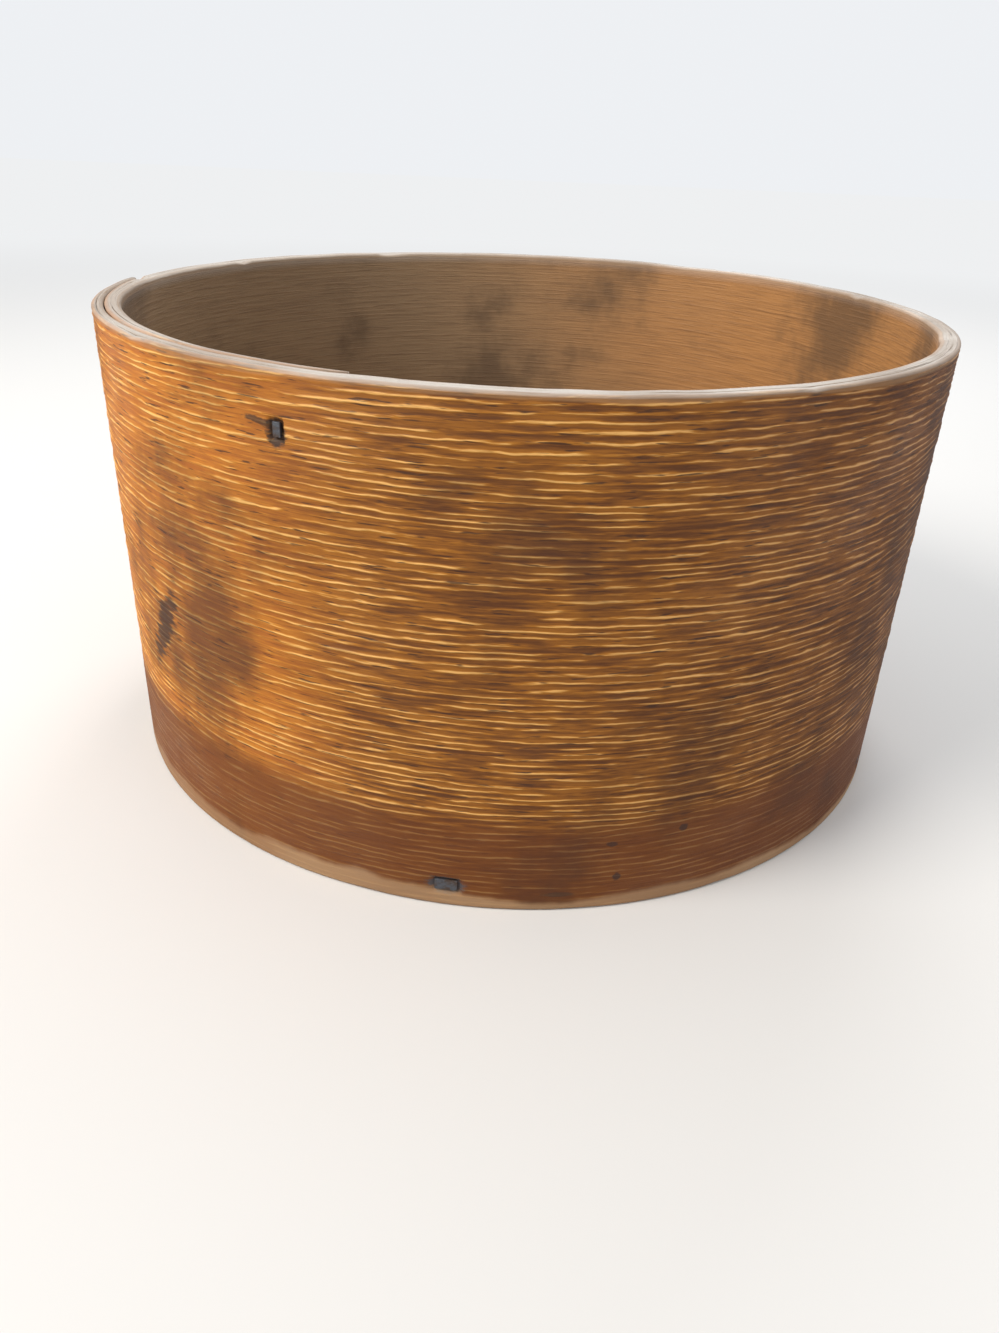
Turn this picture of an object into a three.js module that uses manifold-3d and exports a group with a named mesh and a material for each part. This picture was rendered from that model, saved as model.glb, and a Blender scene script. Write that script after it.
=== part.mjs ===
// A round bentwood dry measure: one board wound into a hoop with a scarfed lap,
// nailed round a boarded bottom.
// Millimetres, +Z up. The origin is the middle of the foot's bounding box, a little to the left of the
// hoop's axis, because the lap stands proud there. Left is as seen from -Y.
import * as THREE from 'three';
import { mergeVertices } from 'three/addons/utils/BufferGeometryUtils.js';
import Module from 'manifold-3d';

const wasm = await Module();
wasm.setup();

// Driving dimensions
const outerRadius = 185; // outside of the hoop where the board is a single layer
const height = 199;
const boardThickness = 8.3;
const tipThickness = 3.4; // what is left of the board at each scarfed end
const lapDegrees = 76; // how far round the two ends overlap
const innerTipDegrees = 252; // where the inner end stops, from +X
const stationDegrees = 4; // about how far apart the board's cross-sections are
const arris = 1.3; // rounding of the board's long edges
const glueGap = 0.3;
const clearance = 0.3; // between pieces that seat on each other

const bottomThickness = 12;
const bottomRecess = 3.7; // how far the bottom sits above the foot
const middleBoardWidth = 122;
const boardDegrees = 20; // direction of the bottom boards, from +X
const jointGap = 0.3;
const tipRelief = 0.2; // degrees left free in front of the inner end

const dowelRadius = 4;
const dowelLength = 40;
const dowelSpacing = 176;
const dowelSides = 14;

const footNailCount = 5;
const firstFootNailDegrees = 263.5;
const footNail = { length: 31, shank: 3.2, tip: 1.2, headLong: 9, headShort: 5, headThick: 1.6, sink: 0.6 };
const lapNail = { length: 10.4, shank: 2.2, tip: 1, headLong: 5, headShort: 3, headThick: 1.2, sink: 0.8 };
const rimNailDegrees = 244.8;
const rimNailBelowRim = 19.4;
const tipNailInset = 4.5; // degrees from the outer end to its row of nails
const tipNailAboveFoot = 30;
const tipNailBelowRim = 29;

const radians = THREE.MathUtils.degToRad;
const fullTurn = 360;
const outerTipDegrees = innerTipDegrees - lapDegrees;
const bottomMiddle = bottomRecess + bottomThickness / 2;

function finish(color, roughness, metalness = 0) {
  return new THREE.MeshStandardMaterial({ color, roughness, metalness });
}

const weatheredPine = () => finish(0x9a5b2e, 0.75);
const bottomPine = () => finish(0x8a5a34, 0.8);
const dowelWood = () => finish(0xa87b4c, 0.8);
const agedIron = () => finish(0x4a4a4c, 0.6, 0.8);

// Radii of the board's two faces after it has travelled some degrees from its inner end.
// The inner end thins from inside the hoop, and the outer end thins over it.
function boardFaces(travelled) {
  const inner = outerRadius - boardThickness;
  const lift = boardThickness + glueGap;
  if (travelled <= lapDegrees) {
    const share = travelled / lapDegrees;
    return [inner - (glueGap + tipThickness) * (1 - share), inner - glueGap + lift * share];
  }
  if (travelled < fullTurn) return [inner, outerRadius];
  const share = (travelled - fullTurn) / lapDegrees;
  return [inner + lift * share, outerRadius + (glueGap + tipThickness) * share];
}

// How far the board has travelled at each cross-section. Both layers of the lap get the same angles.
function stations() {
  const lapSteps = Math.round(lapDegrees / stationDegrees);
  const singleSteps = Math.round((fullTurn - lapDegrees) / stationDegrees);
  const lap = Array.from({ length: lapSteps }, (_, index) => (index * lapDegrees) / lapSteps);
  const single = Array.from({ length: singleSteps }, (_, index) => (
    lapDegrees + (index * (fullTurn - lapDegrees)) / singleSteps
  ));
  return [...lap, ...single, ...lap.map((travelled) => travelled + fullTurn), fullTurn + lapDegrees];
}

// Outside radius of the finished hoop at an angle from +X.
function outsideRadius(degrees) {
  const travelled = THREE.MathUtils.euclideanModulo(innerTipDegrees - degrees, fullTurn);
  return travelled <= lapDegrees ? boardFaces(travelled + fullTurn)[1] : outerRadius;
}

// The board's cross-section as radius and height pairs, with rounded arrises.
function boardSection(inside, outside) {
  const round = Math.min(arris, (outside - inside) / 3);
  const corners = [
    [outside - round, round, -90], [outside - round, height - round, 0],
    [inside + round, height - round, 90], [inside + round, round, 180],
  ];
  return corners.flatMap(([radius, z, start]) => [0, 45, 90].map((turn) => [
    radius + round * Math.cos(radians(start + turn)),
    z + round * Math.sin(radians(start + turn)),
  ]));
}

// A closed body lofted through rings with the same number of points.
function loft(rings) {
  const size = rings[0].length;
  const positions = rings.flat(2);
  const indices = [];
  for (let ring = 0; ring < rings.length - 1; ring += 1) {
    for (let point = 0; point < size; point += 1) {
      const here = ring * size + point;
      const next = ring * size + ((point + 1) % size);
      indices.push(here, next, here + size, next, next + size, here + size);
    }
  }
  const last = (rings.length - 1) * size;
  for (let point = 1; point < size - 1; point += 1) {
    indices.push(0, point + 1, point);
    indices.push(last, last + point, last + point + 1);
  }
  const geometry = new THREE.BufferGeometry();
  geometry.setAttribute('position', new THREE.Float32BufferAttribute(positions, 3));
  geometry.setIndex(indices);
  return geometry;
}

function toSolid(geometry) {
  const bare = geometry.clone();
  bare.deleteAttribute('normal');
  bare.deleteAttribute('uv');
  const merged = mergeVertices(bare, 1e-5);
  const vertProperties = new Float32Array(merged.attributes.position.array);
  const triVerts = new Uint32Array(merged.index.array);
  return new wasm.Manifold(new wasm.Mesh({ numProp: 3, vertProperties, triVerts }));
}

function toGeometry(solid) {
  const mesh = solid.getMesh();
  const geometry = new THREE.BufferGeometry();
  geometry.setAttribute('position', new THREE.BufferAttribute(new Float32Array(mesh.vertProperties), 3));
  geometry.setIndex(new THREE.BufferAttribute(new Uint32Array(mesh.triVerts), 1));
  geometry.computeVertexNormals();
  return geometry;
}

function cutFrom(geometry, cutters) {
  return toGeometry(cutters.reduce((solid, cutter) => solid.subtract(toSolid(cutter)), toSolid(geometry)));
}

// Turns a shape that points inwards along -X onto the outside of the hoop at an angle and height.
function placeOnHoop(geometry, degrees, z) {
  geometry.translate(outsideRadius(degrees), 0, z);
  geometry.rotateZ(radians(degrees));
  return geometry;
}

// A forged nail: a square shank that tapers to its tip, with a flat oblong head sunk in the wood.
function nailParts(nail, grow) {
  const headDepth = nail.headThick + 2 * grow;
  const headOut = grow > 0 ? outerRadius / 10 : 0; // a seat stays open to the outside
  const [headLong, headShort] = [nail.headLong + 2 * grow, nail.headShort + 2 * grow];
  const head = new THREE.BoxGeometry(headDepth + headOut, headLong, headShort);
  head.translate((headOut - headDepth) / 2 - nail.sink + grow, 0, 0);
  const length = nail.length - nail.sink + 2 * grow;
  const root = (nail.shank / 2 + grow) * Math.SQRT2;
  const tip = (nail.tip / 2 + grow) * Math.SQRT2;
  const shank = new THREE.CylinderGeometry(root, tip, length, 4);
  shank.rotateY(radians(45));
  shank.rotateZ(radians(-90));
  shank.translate(-nail.sink - length / 2 + grow - nail.headThick / 4, 0, 0);
  return [head, shank];
}

function nailGeometry(nail, upright, grow = 0) {
  const [head, shank] = nailParts(nail, grow);
  const geometry = toGeometry(toSolid(head).add(toSolid(shank)));
  if (upright) geometry.rotateX(radians(90));
  return geometry;
}

function nailPlaces() {
  const foot = Array.from({ length: footNailCount }, (_, index) => ({
    name: `foot_nail_${index + 1}`,
    nail: footNail,
    degrees: firstFootNailDegrees + (index * fullTurn) / footNailCount,
    z: bottomMiddle,
    upright: false,
  }));
  const highest = height - tipNailBelowRim;
  const tipNailHeights = [tipNailAboveFoot, (tipNailAboveFoot + highest) / 2, highest];
  const lap = tipNailHeights.map((z, index) => ({
    name: `lap_nail_${index + 1}`,
    nail: lapNail,
    degrees: outerTipDegrees + tipNailInset,
    z,
    upright: true,
  }));
  const rim = {
    name: 'rim_nail',
    nail: lapNail,
    degrees: rimNailDegrees,
    z: height - rimNailBelowRim,
    upright: true,
  };
  return [...foot, ...lap, rim];
}

function seatsFor(places) {
  return places.map((place) => {
    const seat = nailGeometry(place.nail, place.upright, clearance);
    return placeOnHoop(seat, place.degrees, place.z);
  });
}

function wallGeometry(places) {
  const rings = [];
  for (const travelled of stations()) {
    const angle = radians(innerTipDegrees - travelled);
    const section = boardSection(...boardFaces(travelled));
    rings.push(section.map(([radius, z]) => [radius * Math.cos(angle), radius * Math.sin(angle), z]));
  }
  return cutFrom(loft(rings), seatsFor(places));
}

// The inside of the hoop, drawn in by the clearance, is the outline that the bottom is cut to.
function bottomOutline() {
  const shape = new THREE.Shape();
  for (const travelled of stations().filter((place) => place <= fullTurn)) {
    const shift = travelled === fullTurn || travelled === 0 ? -tipRelief : 0;
    const angle = radians(innerTipDegrees - travelled - shift);
    const radius = boardFaces(travelled)[0] - clearance;
    if (travelled === 0) shape.moveTo(radius * Math.cos(angle), radius * Math.sin(angle));
    else shape.lineTo(radius * Math.cos(angle), radius * Math.sin(angle));
  }
  shape.closePath();
  return shape;
}

// A long block as wide as one bottom board, whose sides are the joints.
function boardBlock(from, to) {
  const block = new THREE.BoxGeometry(2.2 * outerRadius, to - from, 3 * bottomThickness);
  block.translate(0, (from + to) / 2, bottomMiddle);
  block.rotateZ(radians(boardDegrees));
  return block;
}

function dowelPlaces() {
  return [-1, 1].flatMap((side) => [-1, 1].map((end) => ({
    x: (end * dowelSpacing) / 2,
    y: (side * (middleBoardWidth + jointGap)) / 2,
  })));
}

function dowelGeometry(place, grow) {
  const radius = dowelRadius + grow;
  const dowel = new THREE.CylinderGeometry(radius, radius, dowelLength + 2 * grow, dowelSides);
  dowel.translate(place.x, place.y, 0);
  dowel.rotateZ(radians(boardDegrees));
  dowel.translate(0, 0, bottomMiddle);
  return dowel;
}

function bottomBoards(places) {
  const outline = new THREE.ExtrudeGeometry(bottomOutline(), { depth: bottomThickness, bevelEnabled: false });
  outline.translate(0, 0, bottomRecess);
  const half = middleBoardWidth / 2;
  const spans = [[-1.2 * outerRadius, -half - jointGap], [-half, half], [half + jointGap, 1.2 * outerRadius]];
  const dowelHoles = dowelPlaces().map((place) => dowelGeometry(place, clearance));
  return spans.map(([from, to]) => {
    const board = toGeometry(toSolid(outline).intersect(toSolid(boardBlock(from, to))));
    return cutFrom(board, [...dowelHoles, ...seatsFor(places)]);
  });
}

function addMesh(group, name, geometry, material) {
  geometry.computeVertexNormals();
  const mesh = new THREE.Mesh(geometry, material);
  mesh.name = name;
  group.add(mesh);
}

const measure = new THREE.Group();
const nails = nailPlaces();
addMesh(measure, 'hoop_wall', wallGeometry(nails), weatheredPine());
bottomBoards(nails).forEach((geometry, index) => {
  addMesh(measure, `bottom_board_${index + 1}`, geometry, bottomPine());
});
dowelPlaces().forEach((place, index) => {
  addMesh(measure, `dowel_${index + 1}`, dowelGeometry(place, 0), dowelWood());
});
nails.forEach((place) => {
  const geometry = placeOnHoop(nailGeometry(place.nail, place.upright), place.degrees, place.z);
  addMesh(measure, place.name, geometry, agedIron());
});

// The lap stands proud on one side, so the whole is moved until its foot is centred on the origin.
const middle = new THREE.Box3().setFromObject(measure).getCenter(new THREE.Vector3());
measure.position.set(-middle.x, -middle.y, 0);

export default measure;
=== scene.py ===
import math

import bmesh
import bpy
import numpy as np
from mathutils import Matrix, Vector


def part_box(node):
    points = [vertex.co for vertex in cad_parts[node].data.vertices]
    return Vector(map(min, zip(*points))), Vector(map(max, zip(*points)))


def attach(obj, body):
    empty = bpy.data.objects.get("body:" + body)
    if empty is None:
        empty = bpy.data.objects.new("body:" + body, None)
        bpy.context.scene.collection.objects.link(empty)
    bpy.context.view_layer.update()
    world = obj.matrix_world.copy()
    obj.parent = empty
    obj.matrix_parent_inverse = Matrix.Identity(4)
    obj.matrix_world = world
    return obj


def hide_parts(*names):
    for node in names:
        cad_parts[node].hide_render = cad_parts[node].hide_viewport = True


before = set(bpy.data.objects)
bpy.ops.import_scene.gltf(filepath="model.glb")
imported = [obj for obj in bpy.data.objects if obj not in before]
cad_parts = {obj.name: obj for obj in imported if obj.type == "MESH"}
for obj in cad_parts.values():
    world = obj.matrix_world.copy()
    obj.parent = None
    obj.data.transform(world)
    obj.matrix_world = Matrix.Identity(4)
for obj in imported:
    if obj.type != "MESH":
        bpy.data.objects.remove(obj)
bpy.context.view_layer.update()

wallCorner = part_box("hoop_wall")[1]
scene = bpy.context.scene
scene.view_settings.view_transform = "Standard"
mm = 0.001

# the hoop as the frame has it, a little inside its box: metres, and degrees round the axis
hoop = {
    "frameRadius": 0.185,
    "outerRadius": 0.1848,
    "thickness": 0.0081,
    "tip": 0.0033,  # what is left of the thickness at each thinned end
    "wornTip": 40,  # degrees over which the inner end is rubbed thinner still
    "wornShare": 0.15,  # of the tip that is left at its very end
    "glueGap": 0.0002,
    "lap": 76,
    "innerTip": 252,
    "arris": 0.0013,
    "stationStep": 2,
    "outerRows": 232,
    "innerRows": 46,
    "rimRows": 9,
    "seed": 7,
}
axisX = wallCorner.x - hoop["frameRadius"]  # the lap stands proud on the left, so the axis is off centre
height = wallCorner.z


def put(tree, kind, inputs=None, **settings):
    node = tree.nodes.new(kind)
    for key, value in settings.items():
        setattr(node, key, value)
    for key, value in (inputs or {}).items():
        if isinstance(value, bpy.types.NodeSocket):
            tree.links.new(value, node.inputs[key])
        else:
            node.inputs[key].default_value = value
    return node


def calc(tree, operation, a, b=0.0, clamp=False):
    return put(tree, "ShaderNodeMath", {0: a, 1: b}, operation=operation, use_clamp=clamp).outputs[0]


def product(tree, a, b, clamp=False):
    return calc(tree, "MULTIPLY", a, b, clamp)


def less(tree, whole, value, share):
    # a whole less a share of some value
    return calc(tree, "SUBTRACT", whole, product(tree, value, share))


def vectorCalc(tree, operation, a, b):
    return put(tree, "ShaderNodeVectorMath", {0: a, 1: b}, operation=operation).outputs[0]


def ease(tree, value, low, high, start=0.0, end=1.0):
    node = put(tree, "ShaderNodeMapRange", {0: value, 1: low, 2: high, 3: start, 4: end})
    node.interpolation_type = "SMOOTHSTEP"
    return node.outputs[0]


def blendColour(tree, factor, a, b, mode="MIX"):
    node = put(tree, "ShaderNodeMix", data_type="RGBA", blend_type=mode)
    for index, value in ((0, factor), (6, a), (7, b)):
        if isinstance(value, bpy.types.NodeSocket):
            tree.links.new(value, node.inputs[index])
        elif index == 0:
            node.inputs[0].default_value = value
        else:
            node.inputs[index].default_value = (*value, 1)
    return node.outputs[2]


def coated(tree, colour, pattern, coat, mode="MIX"):
    # one more coat of colour, where a pattern lies between two levels
    mask = ease(tree, pattern, *coat["where"], 0.0, coat["most"])
    return blendColour(tree, mask, colour, coat["colour"], mode)


def stretchedNoise(tree, vector, stretch, detail=2.0, roughness=0.5, shift=0.0):
    scaled = vectorCalc(tree, "MULTIPLY", vector, stretch)
    moved = vectorCalc(tree, "ADD", scaled, (shift, shift, shift))
    inputs = {"Vector": moved, "Scale": 1.0, "Detail": detail, "Roughness": roughness}
    return put(tree, "ShaderNodeTexNoise", inputs).outputs[0]


def ramp(tree, value, stops):
    node = put(tree, "ShaderNodeValToRGB", {0: value})
    points = node.color_ramp.elements
    while len(points) < len(stops):
        points.new(0.5)
    for point, (place, colour) in zip(points, stops):
        point.position = place
        point.color = (*colour, 1)
    return node.outputs[0]


def attribute(tree, name, output="Fac"):
    return put(tree, "ShaderNodeAttribute", attribute_name=name).outputs[output]


def newMaterial(name):
    material = bpy.data.materials.new(name)
    material.use_nodes = True
    tree = material.node_tree
    shader = tree.nodes["Principled BSDF"]
    return material, tree, shader


def addBump(tree, shader, strength, distance, relief):
    bump = put(tree, "ShaderNodeBump", {"Strength": strength, "Distance": distance, "Height": relief})
    tree.links.new(bump.outputs[0], shader.inputs["Normal"])


def boardTravel(degrees):
    # how far round the board runs to an angle from +X, on the face that shows outside
    travel = (hoop["innerTip"] - degrees) % 360
    return travel + 360 if travel < hoop["lap"] else travel


# ridges that weathering leaves along the growth rings, read by the shape and by the colour alike
ridges = {
    "height": 0.0005,
    "spacing": 0.0027,
    "wander": 3.6,
    "wanderStretch": (4.5, 42.0, 1.0),
    "wobble": 0.75,
    "wobbleStretch": (75.0, 240.0, 1.0),
    "breakStretch": (42.0, 460.0, 1.0),
    "crest": (0.24, 0.47),
    "crestShare": 0.75,
    "unbroken": (0.36, 0.58),
    "faintest": 0.12,
    "swell": (0.3, 0.72),
    "shift": 3.7,
    "outsideLow": 0.12,  # share of the height that is left near the foot
    "inside": 0.03,
}

# dark marks on the outside: degrees from +X, height in mm, half sizes in mm, turn in degrees, strength,
# and for a ragged one how far its edge strays, in half sizes, and the stretch of that noise
plainEdge = {"ragged": 0.9, "stretch": (420, 900, 1)}
marks = [
    # the rim nail's pocket: partly iron stain, partly painted shade in the recess
    {"at": (244.8, 178.5), "half": (4.5, 5.5), "turn": 0, "strength": 0.9, "colour": (0.02, 0.014, 0.012)},
    {"at": (243.2, 181.4), "half": (9, 1.4), "turn": -8, "strength": 0.8, "colour": (0.03, 0.015, 0.01)},
    {"at": (263.5, 9.7), "half": (8.5, 4.6), "turn": 0, "strength": 0.85, "colour": (0.055, 0.06, 0.07)},
    {
        "at": (220.4, 82), "half": (25, 6.5), "turn": 58, "strength": 0.85, "colour": (0.035, 0.014, 0.008),
        "ragged": 2.2, "stretch": (70, 420, 1),
    },
    {"at": (292, 34), "half": (2.2, 2), "turn": 0, "strength": 0.8, "colour": (0.03, 0.014, 0.01)},
    {"at": (283, 31), "half": (2.6, 1.4), "turn": 0, "strength": 0.7, "colour": (0.03, 0.014, 0.01)},
    {"at": (284, 15), "half": (2, 2), "turn": 0, "strength": 0.8, "colour": (0.03, 0.014, 0.01)},
    {"at": (277, 8), "half": (7, 1.3), "turn": 0, "strength": 0.6, "colour": (0.04, 0.02, 0.012)},
]

# bites out of the rim: degrees from +X, half width in mm, depth in mm, and the edge they are on
chips = [
    {"at": 343, "half": 6, "depth": 1.6, "edge": "inner"},
    {"at": 20, "half": 5, "depth": 1.2, "edge": "inner"},
    {"at": 52, "half": 3, "depth": 0.7, "edge": "outer"},
    {"at": 150, "half": 5, "depth": 1.1, "edge": "inner"},
    {"at": 118, "half": 8, "depth": 0.7, "edge": "inner"},
    {"at": 176, "half": 4, "depth": 1.5, "edge": "outer"},
    {"at": 222, "half": 7, "depth": 1.0, "edge": "outer"},
    {"at": 300, "half": 4, "depth": 0.6, "edge": "outer"},
]

# where the nails are sunk in the outside: degrees from +X, heights in mm, half sizes in mm,
# and the degrees to each side that get closer stations, with their step
pockets = [
    {"at": 263.5 + turn, "up": [9.7], "half": (4.9, 2.9), "span": 2.1, "step": 0.5}
    for turn in range(0, 360, 72)
] + [
    {"at": 180.5, "up": [30, 100, 170], "half": (1.9, 2.9), "span": 1.2, "step": 0.4},
    {"at": 244.8, "up": [179.6], "half": (2.3, 3.1), "span": 1.4, "step": 0.35},
]

# wear on the hoop's shape, in mm where it is a depth or a reach
wear = {
    "pocketDepth": 1.5,
    "pocketReach": 1.4,  # in half sizes of the nail
    "pocketSlope": 0.4,
    "rimSag": 0.22,
    "rimReach": 4,
    "rimKnots": 60,
    "chipBluntness": 0.6,
    "chipFrom": 0.45,  # share of the thickness that a chip leaves whole
    "splitAcross": 0.375,  # where the split runs, from the outside, as a share of the thickness
    "splitDepth": 1.1,
    "splitKnots": 34,
    "splitBias": 0.35,
    "footLoss": 0.25,
    "footReach": 6,
    "footKnots": 90,
    "smoothBelow": 34,
    "smoothFade": 14,
    "outerArris": (0.35, 0.2),  # how rubbed the rim's outer arris is, and how much more per radian up it
    "innerArris": 0.6,
    "innerEdge": 0.25,
}
layerShift = 0.4  # keeps the grain of the inside and the outside apart


def boardFaces(travel):
    # inside and outside radius of the board after some degrees from its inner end
    lap, gap, tip = hoop["lap"], hoop["glueGap"], hoop["tip"]
    inner = hoop["outerRadius"] - hoop["thickness"]
    lift = hoop["thickness"] + gap
    first = np.clip(travel / lap, 0, 1)
    last = np.clip((travel - 360) / lap, 0, 1)
    rubbed = np.clip(travel / hoop["wornTip"], 0, 1)
    worn = tip * (hoop["wornShare"] + (1 - hoop["wornShare"]) * rubbed)  # hands have thinned the inner end
    inside = inner - (gap + worn) * (1 - first) + lift * last
    outside = np.where(travel < lap, inner - gap + lift * first, hoop["outerRadius"] + (gap + tip) * last)
    return inside, outside


def sectionPoints():
    # points round the board's section. Each has across (0 outside, 1 inside), a share of the arris
    # that moves it in or out, its height, across again for the rim's colour, and rim and foot masks
    arris, turns = hoop["arris"], np.radians([0, 30, 60, 90])
    shoulder = height - arris
    rubbedFrom, rubbedMore = wear["outerArris"]
    rows = []
    for z in np.linspace(arris, shoulder, hoop["outerRows"]):
        rows.append((0, 0, z, 0, 0, 0))
    for turn in turns[1:]:
        rimMask = rubbedFrom + rubbedMore * turn
        rows.append((0, math.cos(turn) - 1, shoulder + arris * math.sin(turn), 0, rimMask, 0))
    for across in np.linspace(0, 1, hoop["rimRows"])[1:-1]:
        rows.append((across, 2 * across - 1, height, across, 1, 0))
    for turn in turns[::-1]:
        rimMask = wear["innerArris"] if turn else wear["innerEdge"]
        rows.append((1, 1 - math.cos(turn), shoulder + arris * math.sin(turn), 1, rimMask, 0))
    for z in np.linspace(shoulder, arris, hoop["innerRows"])[1:]:
        rows.append((1, 0, z, 1, 0, 0))
    for turn in turns[1:]:
        rows.append((1, 1 - math.cos(turn), arris - arris * math.sin(turn), 1, 0, 1))
    for across in (0.75, 0.5, 0.25):
        rows.append((across, 2 * across - 1, 0, across, 0, 1))
    for turn in turns[:0:-1]:
        rows.append((0, math.cos(turn) - 1, arris - arris * math.sin(turn), 0, 0, 1))
    return np.array(rows)


def stationAngles():
    # degrees from the inner end at which the board has a section, closer together at the nails
    travel = np.arange(0, 360 + hoop["lap"] + 0.01, hoop["stationStep"])
    for nail in pockets:
        near = boardTravel(nail["at"]) + np.arange(-nail["span"], nail["span"] + 0.01, nail["step"])
        travel = np.union1d(travel, np.round(near[near < travel[-1]], 3))
    return travel


def awayFrom(travel, degrees):
    # millimetres along the board from an angle to each station
    return (travel - boardTravel(degrees)) * math.pi / 180 * hoop["outerRadius"] / mm


def smoothRandom(values, count, random):
    # a wandering line through random heights
    knots = random.normal(0, 1, count)
    return np.interp(values, np.linspace(values.min(), values.max(), count), knots)


def sinkPockets(travel, rows, radius):
    across, z = rows[:, 0], rows[:, 2]
    for nail in pockets:
        for up in nail["up"]:
            wide = np.abs(awayFrom(travel, nail["at"]))[:, None] / nail["half"][0]
            tall = np.abs(z / mm - up)[None, :] / nail["half"][1]
            sunk = np.clip((wear["pocketReach"] - np.maximum(wide, tall)) / wear["pocketSlope"], 0, 1)
            radius = radius - sunk * (across == 0)[None, :] * wear["pocketDepth"] * mm
    return radius


def wornHeights(travel, rows):
    # the height of every point, once the rim has sagged, chipped and split and the foot has worn
    random = np.random.default_rng(hoop["seed"])
    across, acrossRim, rim = rows[:, 0], rows[:, 3], rows[:, 4]
    heights = np.repeat(rows[None, :, 2], len(travel), 0)
    rimReach = wear["rimReach"] * mm
    sag = np.abs(smoothRandom(travel, wear["rimKnots"], random)) * wear["rimSag"] * mm
    nearRim = np.clip((heights - (height - rimReach)) / rimReach, 0, 1)
    heights = heights - sag[:, None] * nearRim
    for chip in chips:
        away = awayFrom(travel, chip["at"])
        bite = np.clip(1 - (away / chip["half"]) ** 2, 0, 1) ** wear["chipBluntness"]
        side = 1 - across if chip["edge"] == "outer" else across
        reach = np.clip((side - wear["chipFrom"]) / (1 - wear["chipFrom"]), 0, 1)
        heights = heights - reach[None, :] * bite[:, None] * chip["depth"] * mm * nearRim
    splitHere = np.clip(smoothRandom(travel, wear["splitKnots"], random) + wear["splitBias"], 0, 1)
    isSplit = (np.abs(acrossRim - wear["splitAcross"]) < 0.05) & (rim == 1)
    heights = heights - splitHere[:, None] * isSplit[None, :] * wear["splitDepth"] * mm
    nearFoot = np.clip(1 - heights / (wear["footReach"] * mm), 0, 1)
    loss = np.clip(smoothRandom(travel, wear["footKnots"], random), 0, 2) * wear["footLoss"] * mm
    return heights + loss[:, None] * nearFoot * (across < 0.5)[None, :]


def boardGrid():
    # every point of the board, its place on the flat board, and the way out from the axis
    travel, rows = stationAngles(), sectionPoints()
    across, offset, rim = rows[:, 0], rows[:, 1], rows[:, 4]
    inside, outside = boardFaces(travel)
    thick = outside - inside
    arris = np.minimum(hoop["arris"], thick / 3)
    radius = outside[:, None] - thick[:, None] * across[None, :] + arris[:, None] * offset[None, :]
    radius = sinkPockets(travel, rows, radius)
    heights = wornHeights(travel, rows)
    angle = np.radians(hoop["innerTip"] - travel)[:, None]
    zeros = np.zeros_like(radius)
    points = np.stack([axisX + radius * np.cos(angle), radius * np.sin(angle), heights], -1)
    alongBoard = np.radians(travel)[:, None] * hoop["outerRadius"] + zeros
    upBoard = heights + thick[:, None] * across[None, :] * (rim > 0)[None, :]
    boardPoint = np.stack([alongBoard, upBoard, across[None, :] * layerShift + zeros], -1)
    outward = np.stack([np.cos(angle) + zeros, np.sin(angle) + zeros, zeros], -1)
    return rows, len(travel), points.reshape(-1, 3), boardPoint.reshape(-1, 3), outward.reshape(-1, 3)


def makeBoard():
    rows, stations, points, boardPoint, outward = boardGrid()
    size = len(rows)
    faces = []
    for station in range(stations - 1):
        for row in range(size):
            here, after = station * size + row, station * size + (row + 1) % size
            faces.append((here, here + size, after + size, after))
    last = (stations - 1) * size
    faces.append(tuple(range(size)))
    faces.append(tuple(last + row for row in reversed(range(size))))
    mesh = bpy.data.meshes.new("hoop")
    mesh.from_pydata(points.tolist(), [], faces)
    mesh.update()

    across, acrossRim, rim, foot = np.tile(rows[:, [0, 3, 4, 5]], (stations, 1)).T
    rough = np.clip((points[:, 2] - wear["smoothBelow"] * mm) / (wear["smoothFade"] * mm), 0, 1)
    outerRidges = (across == 0) * (rim == 0) * (foot == 0)
    outerRidges = outerRidges * (ridges["outsideLow"] + (1 - ridges["outsideLow"]) * rough)
    innerRidges = (across == 1) * (rim <= wear["innerEdge"]) * (foot == 0) * ridges["inside"]
    masks = {
        "ridgeMask": outerRidges + innerRidges,
        "insideMask": across > 0.95,
        "rimMask": rim,
        "footMask": foot,
        "acrossRim": acrossRim,
    }
    for name, values in masks.items():
        data = mesh.attributes.new(name, "FLOAT", "POINT").data
        data.foreach_set("value", values.astype(np.float32))
    outFromWood = outward * np.where(across > 0.5, -1, 1)[:, None]
    for name, values in (("boardPoint", boardPoint), ("outward", outFromWood)):
        data = mesh.attributes.new(name, "FLOAT_VECTOR", "POINT").data
        data.foreach_set("vector", values.astype(np.float32).ravel())
    piece = bpy.data.objects.new("hoop", mesh)
    scene.collection.objects.link(piece)
    fixNormals(mesh)
    return piece


def fixNormals(mesh):
    work = bmesh.new()
    work.from_mesh(mesh)
    bmesh.ops.remove_doubles(work, verts=work.verts, dist=1e-6)
    bmesh.ops.recalc_face_normals(work, faces=work.faces)
    for face in work.faces:
        face.smooth = True
    work.to_mesh(mesh)
    work.free()


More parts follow.
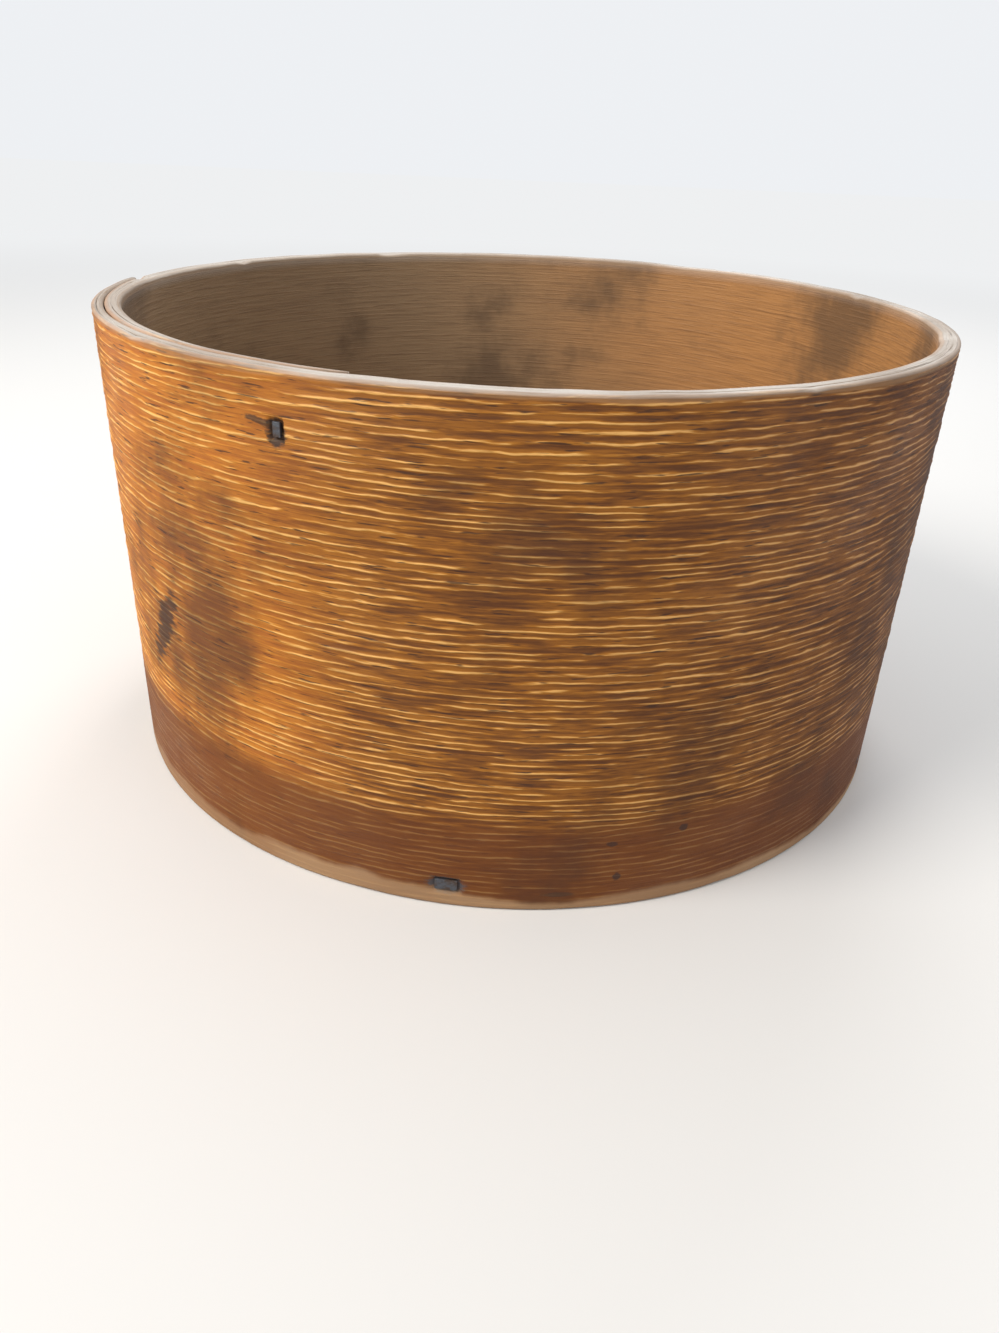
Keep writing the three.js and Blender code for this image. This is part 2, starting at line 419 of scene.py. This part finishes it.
def ridgeHeight(tree, point):
    # 1 on a crest and 0 in a valley
    shift = ridges["shift"]
    up = put(tree, "ShaderNodeSeparateXYZ", {0: point}).outputs["Y"]
    turns = calc(tree, "DIVIDE", up, ridges["spacing"])
    wander = stretchedNoise(tree, point, ridges["wanderStretch"], 2.0, 0.5, shift)
    turns = calc(tree, "ADD", turns, product(tree, wander, ridges["wander"]))
    wobble = stretchedNoise(tree, point, ridges["wobbleStretch"], 2.0, 0.5, shift)
    turns = calc(tree, "ADD", turns, product(tree, wobble, ridges["wobble"]))
    crest = ease(tree, calc(tree, "PINGPONG", turns, 0.5), *ridges["crest"])
    broken = stretchedNoise(tree, point, ridges["breakStretch"], 3.0, 0.6, shift)
    strength = ease(tree, broken, *ridges["unbroken"], ridges["faintest"], 1.0)
    lifted = product(tree, product(tree, crest, strength), ridges["crestShare"])
    swell = ease(tree, broken, *ridges["swell"], 0.0, 1 - ridges["crestShare"])
    return calc(tree, "ADD", lifted, swell, True)


def ridgeTree(material):
    tree = bpy.data.node_groups.new("weatheredRidges", "GeometryNodeTree")
    face = tree.interface
    face.new_socket("Geometry", in_out="INPUT", socket_type="NodeSocketGeometry")
    face.new_socket("Ridge height", in_out="INPUT", socket_type="NodeSocketFloat")
    face.new_socket("Geometry", in_out="OUTPUT", socket_type="NodeSocketGeometry")
    start = tree.nodes.new("NodeGroupInput")
    end = tree.nodes.new("NodeGroupOutput")

    def named(name, kind):
        node = put(tree, "GeometryNodeInputNamedAttribute", data_type=kind)
        node.inputs["Name"].default_value = name
        return next(socket for socket in node.outputs if socket.enabled)

    # the crests stay on the hoop's own face, and the valleys sink below it
    pattern = ridgeHeight(tree, named("boardPoint", "FLOAT_VECTOR"))
    down = calc(tree, "SUBTRACT", pattern, 1.0)
    depth = product(tree, down, start.outputs["Ridge height"])
    depth = product(tree, depth, named("ridgeMask", "FLOAT"))
    offset = put(tree, "ShaderNodeVectorMath", {0: named("outward", "FLOAT_VECTOR")}, operation="SCALE")
    tree.links.new(depth, offset.inputs["Scale"])
    inputs = {"Geometry": start.outputs["Geometry"], "Offset": offset.outputs[0]}
    moved = put(tree, "GeometryNodeSetPosition", inputs)
    real = put(tree, "GeometryNodeRealizeInstances", {"Geometry": moved.outputs[0]})
    painted = put(tree, "GeometryNodeSetMaterial", {"Geometry": real.outputs[0]})
    painted.inputs["Material"].default_value = material
    tree.links.new(painted.outputs[0], end.inputs[0])
    return tree


def freeze(piece):
    # the evaluated shape as a plain mesh, with the modifier gone
    graph = bpy.context.evaluated_depsgraph_get()
    mesh = bpy.data.meshes.new_from_object(piece.evaluated_get(graph))
    piece.modifiers.clear()
    piece.data = mesh


def paint(piece, material):
    piece.data.materials.clear()
    piece.data.materials.append(material)


def markMask(tree, point, mark):
    mark = plainEdge | mark
    degrees, up = mark["at"]
    along = math.radians(boardTravel(degrees)) * hoop["outerRadius"]
    away = vectorCalc(tree, "SUBTRACT", point, (along, up * mm, 0))
    inputs = {"Vector": away, "Angle": math.radians(mark["turn"])}
    turned = put(tree, "ShaderNodeVectorRotate", inputs, rotation_type="Z_AXIS").outputs[0]
    wide, tall = mark["half"]
    scaled = vectorCalc(tree, "MULTIPLY", turned, (1 / (wide * mm), 1 / (tall * mm), 0))
    far = put(tree, "ShaderNodeVectorMath", {0: scaled}, operation="LENGTH").outputs["Value"]
    stray = product(tree, stretchedNoise(tree, point, mark["stretch"], 3.0), mark["ragged"])
    reach = calc(tree, "ADD", far, stray)
    edge = 1 + mark["ragged"] / 2
    return ease(tree, reach, edge + 0.05, edge - 0.35, 0.0, mark["strength"])


# how the hoop's wood looks, with painted light on its left side and painted shade on its right. A coat
# covers at most a share, where its pattern lies between two levels.
# The lean runs to the right and an edge runs up, both in metres, and other patterns go from 0 to 1
outsideLook = {
    # the ring colours run from dark valleys to light orange crests: partly the grain's own tone, partly a
    # painted highlight along the crests
    "rings": [
        (0.0, (0.11, 0.032, 0.003)), (0.16, (0.26, 0.088, 0.006)),
        (0.5, (0.4, 0.15, 0.011)), (1.0, (0.86, 0.47, 0.14)),
    ],
    # painted light on the left side, partly the wood's own brighter tone there
    "paintedLightLeft": {"where": (-0.03, -0.15), "most": 0.62, "colour": (0.56, 0.15, 0.014)},
    "streaks": {"where": (0.5, 0.72), "most": 0.6, "colour": (0.1, 0.03, 0.004)},
    "ticks": {"where": (0.6, 0.68), "most": 0.85, "colour": (0.05, 0.017, 0.006)},
    "stain": {"where": (0.5, 0.7), "most": 0.72, "colour": (0.06, 0.02, 0.008)},
    # painted shade on the right side, partly the wood's own darker tone there
    "shade": {"where": (0.02, 0.17), "most": 0.8, "colour": (0.42, 0.36, 0.5)},
    "smooth": ((0.07, 0.016, 0.001), (0.18, 0.045, 0.002)),
    "smoothStain": {"where": (0.5, 0.7), "most": 0.72, "colour": (0.055, 0.018, 0.007)},
    "smoothShare": 0.8,
    "smoothEdge": (0.058, 0.044),
    "smoothWaver": 0.02,
}
insideLook = {
    "warmth": (-0.07, 0.16),
    "grey": (0.3, 0.2, 0.11),
    "warm": (0.54, 0.26, 0.09),
    "streaks": {"where": (0.4, 0.75), "most": 0.45, "colour": (0.1, 0.052, 0.032)},
    "stain": {"where": (0.45, 0.62), "most": 0.7, "colour": (0.11, 0.07, 0.042)},
    "crests": {"where": (0.7, 1.0), "most": 0.12, "colour": (0.42, 0.24, 0.13)},
}
rimLook = {
    "patches": (0.35, 0.65),
    "pale": (0.64, 0.65, 0.63),
    "dull": (0.42, 0.4, 0.38),
    "streaks": {"where": (0.5, 0.78), "most": 0.75, "colour": (0.16, 0.1, 0.065)},
    "split": (0.035, 0.02, 0.014),
    "splitFade": (0.1, 0.02),
    "splitHere": (0.46, 0.54),
    "splitStretch": (14, 14, 1),
    "rubbed": (0.2, 0.45, 0.7, 1.0),
    "tan": {"where": (height - 0.001, height), "most": 0.32, "colour": (0.46, 0.28, 0.14)},
    "tanWaver": 0.004,
}
footLook = {
    "pale": (0.5, 0.32, 0.17),
    "paleEdge": (0.0065, 0.003),
    "paleWaver": 0.016,
    "paleShare": (0.36, 0.56, 0.4, 0.9),
    "widerLeft": (0.06, -0.1, 0.0, 0.003),
    "underside": (0.2, 0.11, 0.055),
    "undersideShare": 0.5,
}
pineNoise = {  # stretch, detail, roughness and shift
    "streaks": ((45, 1500, 1), 4.0, 0.65),
    "fibres": ((160, 4200, 1), 3.0, 0.7),
    "ticks": ((70, 800, 1), 2.0, 0.6, 5.0),
    "cloud": ((11, 11, 11), 5.0, 0.6),
    "wide": ((4.5, 4.5, 6), 2.0, 0.5, 2.0),
    "drift": 0.16,  # metres that the wide noise moves the lean
}
pineSurface = {
    "specular": 0.32,
    "roughness": (0.25, 0.6, 0.46, 0.72),
    "polishedCrests": -0.12,
    "streakRelief": 0.5,
    "fibreRelief": 0.3,
    "ringRelief": 0.9,
    "smoothLoss": 0.7,
    "insideLoss": 0.75,
    "bump": 0.6,
    "bumpDepth": 0.0007,
}


def pinePatterns(tree):
    # the noises, places and masks that the hoop's colour, roughness and bump share
    point = attribute(tree, "boardPoint", "Vector")
    place = put(tree, "ShaderNodeTexCoord").outputs["Object"]
    axes = put(tree, "ShaderNodeSeparateXYZ", {0: place}).outputs
    wide = stretchedNoise(tree, place, *pineNoise["wide"])
    drift = product(tree, calc(tree, "SUBTRACT", wide, 0.5), pineNoise["drift"])
    edge = calc(tree, "ADD", axes["Z"], product(tree, wide, outsideLook["smoothWaver"]))
    return {
        "point": point,
        "x": axes["X"],
        "z": axes["Z"],
        "rings": ridgeHeight(tree, point),
        "streaks": stretchedNoise(tree, point, *pineNoise["streaks"]),
        "fibres": stretchedNoise(tree, point, *pineNoise["fibres"]),
        "ticks": stretchedNoise(tree, point, *pineNoise["ticks"]),
        "cloud": stretchedNoise(tree, place, *pineNoise["cloud"]),
        "wide": wide,
        "lean": calc(tree, "ADD", axes["X"], drift),
        "smooth": ease(tree, edge, *outsideLook["smoothEdge"]),
        "inside": attribute(tree, "insideMask"),
        "rim": attribute(tree, "rimMask"),
        "foot": attribute(tree, "footMask"),
        "acrossRim": attribute(tree, "acrossRim"),
    }


def outsideColour(tree, grain):
    # painted highlight along the ridge crests, partly the grain's own tone
    wood = ramp(tree, grain["rings"], outsideLook["rings"])
    # painted light brightens the left side, partly the wood's own tone
    wood = coated(tree, wood, grain["lean"], outsideLook["paintedLightLeft"], "SCREEN")
    wood = coated(tree, wood, grain["streaks"], outsideLook["streaks"])
    wood = coated(tree, wood, grain["ticks"], outsideLook["ticks"])
    wood = coated(tree, wood, grain["cloud"], outsideLook["stain"])
    # painted shade darkens the right side, partly the wood's own tone
    wood = coated(tree, wood, grain["lean"], outsideLook["shade"], "MULTIPLY")
    smooth = blendColour(tree, grain["streaks"], *outsideLook["smooth"])
    smooth = coated(tree, smooth, grain["cloud"], outsideLook["smoothStain"])
    wood = blendColour(tree, product(tree, grain["smooth"], outsideLook["smoothShare"]), wood, smooth)
    for mark in marks:
        wood = blendColour(tree, markMask(tree, grain["point"], mark), wood, mark["colour"])
    return wood


def insideColour(tree, grain):
    warm = ease(tree, grain["lean"], *insideLook["warmth"])
    wood = blendColour(tree, warm, insideLook["grey"], insideLook["warm"])
    wood = coated(tree, wood, grain["streaks"], insideLook["streaks"])
    wood = coated(tree, wood, grain["cloud"], insideLook["stain"])
    return coated(tree, wood, grain["rings"], insideLook["crests"])


def wornRim(tree, grain, wood):
    patches = ease(tree, grain["cloud"], *rimLook["patches"])
    worn = blendColour(tree, patches, rimLook["pale"], rimLook["dull"])
    worn = coated(tree, worn, grain["streaks"], rimLook["streaks"])
    away = calc(tree, "ABSOLUTE", calc(tree, "SUBTRACT", grain["acrossRim"], wear["splitAcross"]))
    here = stretchedNoise(tree, grain["point"], rimLook["splitStretch"], 2.0)
    here = ease(tree, here, *rimLook["splitHere"])
    split = product(tree, ease(tree, away, *rimLook["splitFade"]), here)
    worn = blendColour(tree, split, worn, rimLook["split"])
    rubbed = product(tree, grain["rim"], ease(tree, grain["cloud"], *rimLook["rubbed"]), True)
    wood = blendColour(tree, rubbed, wood, worn)
    edge = calc(tree, "ADD", grain["z"], product(tree, grain["cloud"], rimLook["tanWaver"]))
    return coated(tree, wood, edge, rimLook["tan"])


def wornFoot(tree, grain, wood):
    waver = product(tree, calc(tree, "SUBTRACT", grain["cloud"], 0.5), footLook["paleWaver"])
    edge = calc(tree, "ADD", grain["z"], waver)
    edge = calc(tree, "SUBTRACT", edge, ease(tree, grain["x"], *footLook["widerLeft"]))
    share = ease(tree, grain["wide"], *footLook["paleShare"])
    pale = product(tree, ease(tree, edge, *footLook["paleEdge"]), share)
    pale = product(tree, pale, calc(tree, "SUBTRACT", 1.0, grain["inside"]), True)
    wood = blendColour(tree, pale, wood, footLook["pale"])
    under = product(tree, grain["foot"], footLook["undersideShare"])
    return blendColour(tree, under, wood, footLook["underside"])


def weatheredPine():
    material, tree, shader = newMaterial("weatheredPine")
    grain = pinePatterns(tree)
    wood = blendColour(tree, grain["inside"], outsideColour(tree, grain), insideColour(tree, grain))
    wood = wornFoot(tree, grain, wornRim(tree, grain, wood))
    tree.links.new(wood, shader.inputs["Base Color"])
    shader.inputs["Specular IOR Level"].default_value = pineSurface["specular"]

    crests = product(tree, grain["rings"], pineSurface["polishedCrests"])
    handled = ease(tree, calc(tree, "ADD", grain["cloud"], crests), *pineSurface["roughness"])
    tree.links.new(handled, shader.inputs["Roughness"])
    streaks = product(tree, grain["streaks"], pineSurface["streakRelief"])
    fibres = product(tree, grain["fibres"], pineSurface["fibreRelief"])
    ringShare = less(tree, pineSurface["ringRelief"], grain["smooth"], pineSurface["smoothLoss"])
    rings = product(tree, grain["rings"], ringShare)
    rings = product(tree, rings, less(tree, 1.0, grain["inside"], pineSurface["insideLoss"]))
    relief = calc(tree, "ADD", calc(tree, "ADD", streaks, fibres), rings)
    addBump(tree, shader, pineSurface["bump"], pineSurface["bumpDepth"], relief)
    return material


# the hoop
hoopWood = weatheredPine()
hoopPiece = makeBoard()
weathering = hoopPiece.modifiers.new("weathering", "NODES")
weathering.node_group = ridgeTree(hoopWood)
sockets = weathering.node_group.interface.items_tree
ridgeSocket = next(item for item in sockets if item.name == "Ridge height")
weathering[ridgeSocket.identifier] = ridges["height"]
freeze(hoopPiece)
paint(hoopPiece, hoopWood)
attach(hoopPiece, "root")
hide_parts("hoop_wall")
print("hoop made:", len(hoopPiece.data.polygons), "faces")

# the bottom boards and dowels: the way they run, the width of the eased edges, and their wood
boards = {
    "turn": math.radians(20),
    "edge": 0.0011,
    "shift": 31.0,  # each board is cut from another place in the wood
    "ringStretch": (5, 110, 40),
    "rings": [
        (0.3, (0.12, 0.06, 0.03)), (0.48, (0.27, 0.145, 0.07)),
        (0.56, (0.4, 0.24, 0.125)), (0.7, (0.2, 0.1, 0.05)),
    ],
    "fibreStretch": (60, 1400, 600),
    "cloudStretch": (14, 14, 14),
    "ringRelief": 0.8,
    "fibreRelief": 0.3,
    "fibres": {"where": (0.45, 0.75), "most": 0.5, "colour": (0.09, 0.045, 0.024)},
    "stain": {"where": (0.45, 0.65), "most": 0.55, "colour": (0.11, 0.058, 0.034)},
    "roughness": (0.3, 0.7, 0.6, 0.82),
    "bump": 0.5,
    "bumpDepth": 0.0008,
}

# the nails: the width of the eased edges, and their iron
nails = {
    "edge": 0.0007,
    "iron": (0.1, 0.105, 0.12),
    "rust": (0.05, 0.028, 0.018),
    "rustWhere": (0.42, 0.62),
    "rustStretch": (320, 320, 320),
    "pitStretch": (900, 900, 900),
    "metallic": (0.75, 0.1),
    "roughness": (0.3, 0.7, 0.38, 0.8),
    "bump": 0.6,
    "bumpDepth": 0.0003,
}


def bottomPine(name, turn, shift):
    material, tree, shader = newMaterial(name)
    place = put(tree, "ShaderNodeTexCoord").outputs["Object"]
    inputs = {"Vector": place, "Angle": -turn}
    turned = put(tree, "ShaderNodeVectorRotate", inputs, rotation_type="Z_AXIS").outputs[0]
    rings = stretchedNoise(tree, turned, boards["ringStretch"], 3.0, 0.55, shift)
    fibres = stretchedNoise(tree, turned, boards["fibreStretch"], 3.0, 0.65)
    cloud = stretchedNoise(tree, place, boards["cloudStretch"], 4.0, 0.6)
    wood = ramp(tree, rings, boards["rings"])
    wood = coated(tree, wood, fibres, boards["fibres"])
    wood = coated(tree, wood, cloud, boards["stain"])
    tree.links.new(wood, shader.inputs["Base Color"])
    tree.links.new(ease(tree, cloud, *boards["roughness"]), shader.inputs["Roughness"])
    fibreRelief = product(tree, fibres, boards["fibreRelief"])
    relief = calc(tree, "ADD", product(tree, rings, boards["ringRelief"]), fibreRelief)
    addBump(tree, shader, boards["bump"], boards["bumpDepth"], relief)
    return material


def agedIron():
    material, tree, shader = newMaterial("agedIron")
    place = put(tree, "ShaderNodeTexCoord").outputs["Object"]
    pits = stretchedNoise(tree, place, nails["pitStretch"], 4.0, 0.6)
    rust = ease(tree, stretchedNoise(tree, place, nails["rustStretch"], 3.0, 0.6), *nails["rustWhere"])
    tree.links.new(blendColour(tree, rust, nails["iron"], nails["rust"]), shader.inputs["Base Color"])
    tree.links.new(ease(tree, rust, 0.0, 1.0, *nails["metallic"]), shader.inputs["Metallic"])
    tree.links.new(ease(tree, pits, *nails["roughness"]), shader.inputs["Roughness"])
    addBump(tree, shader, nails["bump"], nails["bumpDepth"], pits)
    return material


def roundedCopy(node, name, width, material):
    # a CAD piece with its sharp edges eased, as wear and the hammer leave them
    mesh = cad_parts[node].data.copy()
    mesh.name = name
    piece = bpy.data.objects.new(name, mesh)
    scene.collection.objects.link(piece)
    work = bmesh.new()
    work.from_mesh(mesh)
    bmesh.ops.remove_doubles(work, verts=work.verts, dist=1e-6)
    bmesh.ops.dissolve_limit(work, angle_limit=math.radians(1), verts=work.verts, edges=work.edges)
    bmesh.ops.recalc_face_normals(work, faces=work.faces)
    work.to_mesh(mesh)
    work.free()
    soften = piece.modifiers.new("soften", "BEVEL")
    soften.width = width
    soften.segments = 2
    soften.limit_method = "ANGLE"
    soften.angle_limit = math.radians(35)
    freeze(piece)
    paint(piece, material)
    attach(piece, "root")
    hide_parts(node)


dowelWood = bottomPine("dowelWood", boards["turn"] + math.pi / 2, 0.0)
iron = agedIron()
for node in sorted(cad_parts):
    if node.startswith("bottom_board"):
        boardWood = bottomPine(node + "_pine", boards["turn"], boards["shift"] * int(node[-1]))
        roundedCopy(node, node + "_worn", boards["edge"], boardWood)
    elif node.startswith("dowel"):
        paint(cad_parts[node], dowelWood)
    elif "nail" in node:
        roundedCopy(node, node + "_forged", nails["edge"], iron)
print("bottom and nails made")

# the floor, which fades into a pale haze, and the sky: metres and strengths
studio = {
    "floor": (0.8, 0.79, 0.77),
    "floorReach": 6,
    "floorRoughness": 0.6,
    "haze": (0.86, 0.87, 0.88),
    "hazeWhere": (0.7, 2.4),
    "sky": (0.95, 0.97, 1.0),
    "skyLight": 0.63,
    "skySeen": 0.9,
    "aim": (0, 0, 0.1),
}
lamps = [
    {"name": "key", "at": (-1.1, -0.7, 1.3), "size": 0.9, "watts": 24, "colour": (1.0, 0.96, 0.9)},
    {"name": "fill", "at": (1.3, -1.2, 0.9), "size": 1.2, "watts": 4, "colour": (0.92, 0.96, 1.0)},
    {"name": "back", "at": (0.3, 1.4, 1.3), "size": 1.0, "watts": 12, "colour": (1.0, 1.0, 1.0)},
]


def backdropRays(tree):
    # 1 where the backdrop is seen, straight or in a shiny or clear surface, and 0 where it only gives light
    rays = put(tree, "ShaderNodeLightPath").outputs
    mirrored = calc(tree, "MAXIMUM", rays["Is Glossy Ray"], rays["Is Transmission Ray"])
    return calc(tree, "MAXIMUM", rays["Is Camera Ray"], mirrored)


def makeFloor():
    reach = studio["floorReach"]
    corners = [(-reach, -reach, 0), (reach, -reach, 0), (reach, reach, 0), (-reach, reach, 0)]
    mesh = bpy.data.meshes.new("floor")
    mesh.from_pydata(corners, [], [(0, 1, 2, 3)])
    floor = bpy.data.objects.new("floor", mesh)
    scene.collection.objects.link(floor)
    material, tree, shader = newMaterial("paleFloor")
    shader.inputs["Base Color"].default_value = (*studio["floor"], 1)
    shader.inputs["Roughness"].default_value = studio["floorRoughness"]
    place = put(tree, "ShaderNodeTexCoord").outputs["Object"]
    far = put(tree, "ShaderNodeVectorMath", {0: place}, operation="LENGTH").outputs["Value"]
    haze = put(tree, "ShaderNodeEmission", {"Color": (*studio["haze"], 1), "Strength": 1.0})
    share = product(tree, ease(tree, far, *studio["hazeWhere"]), backdropRays(tree))
    mixed = put(tree, "ShaderNodeMixShader", {0: share, 1: shader.outputs[0], 2: haze.outputs[0]})
    tree.links.new(mixed.outputs[0], tree.nodes["Material Output"].inputs["Surface"])
    mesh.materials.append(material)


def addLamp(lamp):
    light = bpy.data.lights.new(lamp["name"], "AREA")
    light.shape = "DISK"
    light.size = lamp["size"]
    light.energy = lamp["watts"]
    light.color = lamp["colour"]
    holder = bpy.data.objects.new(lamp["name"], light)
    holder.location = lamp["at"]
    holder.rotation_euler = (Vector(studio["aim"]) - Vector(lamp["at"])).to_track_quat("-Z", "Y").to_euler()
    scene.collection.objects.link(holder)


def makeSky():
    world = bpy.data.worlds.new("sky")
    world.use_nodes = True
    tree = world.node_tree
    background = tree.nodes["Background"]
    background.inputs["Color"].default_value = (*studio["sky"], 1)
    levels = {0: backdropRays(tree), 1: 0.0, 2: 1.0, 3: studio["skyLight"], 4: studio["skySeen"]}
    strength = put(tree, "ShaderNodeMapRange", levels).outputs[0]
    tree.links.new(strength, background.inputs["Strength"])
    scene.world = world


makeFloor()
for lamp in lamps:
    addLamp(lamp)
makeSky()

# the camera, found from the photo's outlines in its 999 x 1333 frame: pixels, metres, radians and mm
lens = {
    "focalPixels": 1000,
    "longSide": 1333,
    "sensor": 36,
    "back": 0.4818,
    "up": 0.2673,
    "yaw": -0.0126,
    "pitch": 0.4942,
    "roll": 0.0426,
}


def makeCamera():
    cosYaw, sinYaw = math.cos(lens["yaw"]), math.sin(lens["yaw"])
    cosPitch, sinPitch = math.cos(lens["pitch"]), math.sin(lens["pitch"])
    ahead = Vector((sinYaw * cosPitch, cosYaw * cosPitch, -sinPitch))
    level = Vector((cosYaw, -sinYaw, 0))
    upright = level.cross(ahead)
    right = level * math.cos(lens["roll"]) + upright * math.sin(lens["roll"])
    up = upright * math.cos(lens["roll"]) - level * math.sin(lens["roll"])
    camera = bpy.data.objects.new("camera", bpy.data.cameras.new("camera"))
    camera.data.sensor_width = lens["sensor"]
    camera.data.lens = lens["sensor"] * lens["focalPixels"] / lens["longSide"]
    turn = Matrix((right, up, -ahead)).transposed().to_4x4()
    camera.matrix_world = Matrix.Translation((axisX, -lens["back"], lens["up"])) @ turn
    scene.collection.objects.link(camera)
    scene.camera = camera


makeCamera()
print("stage made")
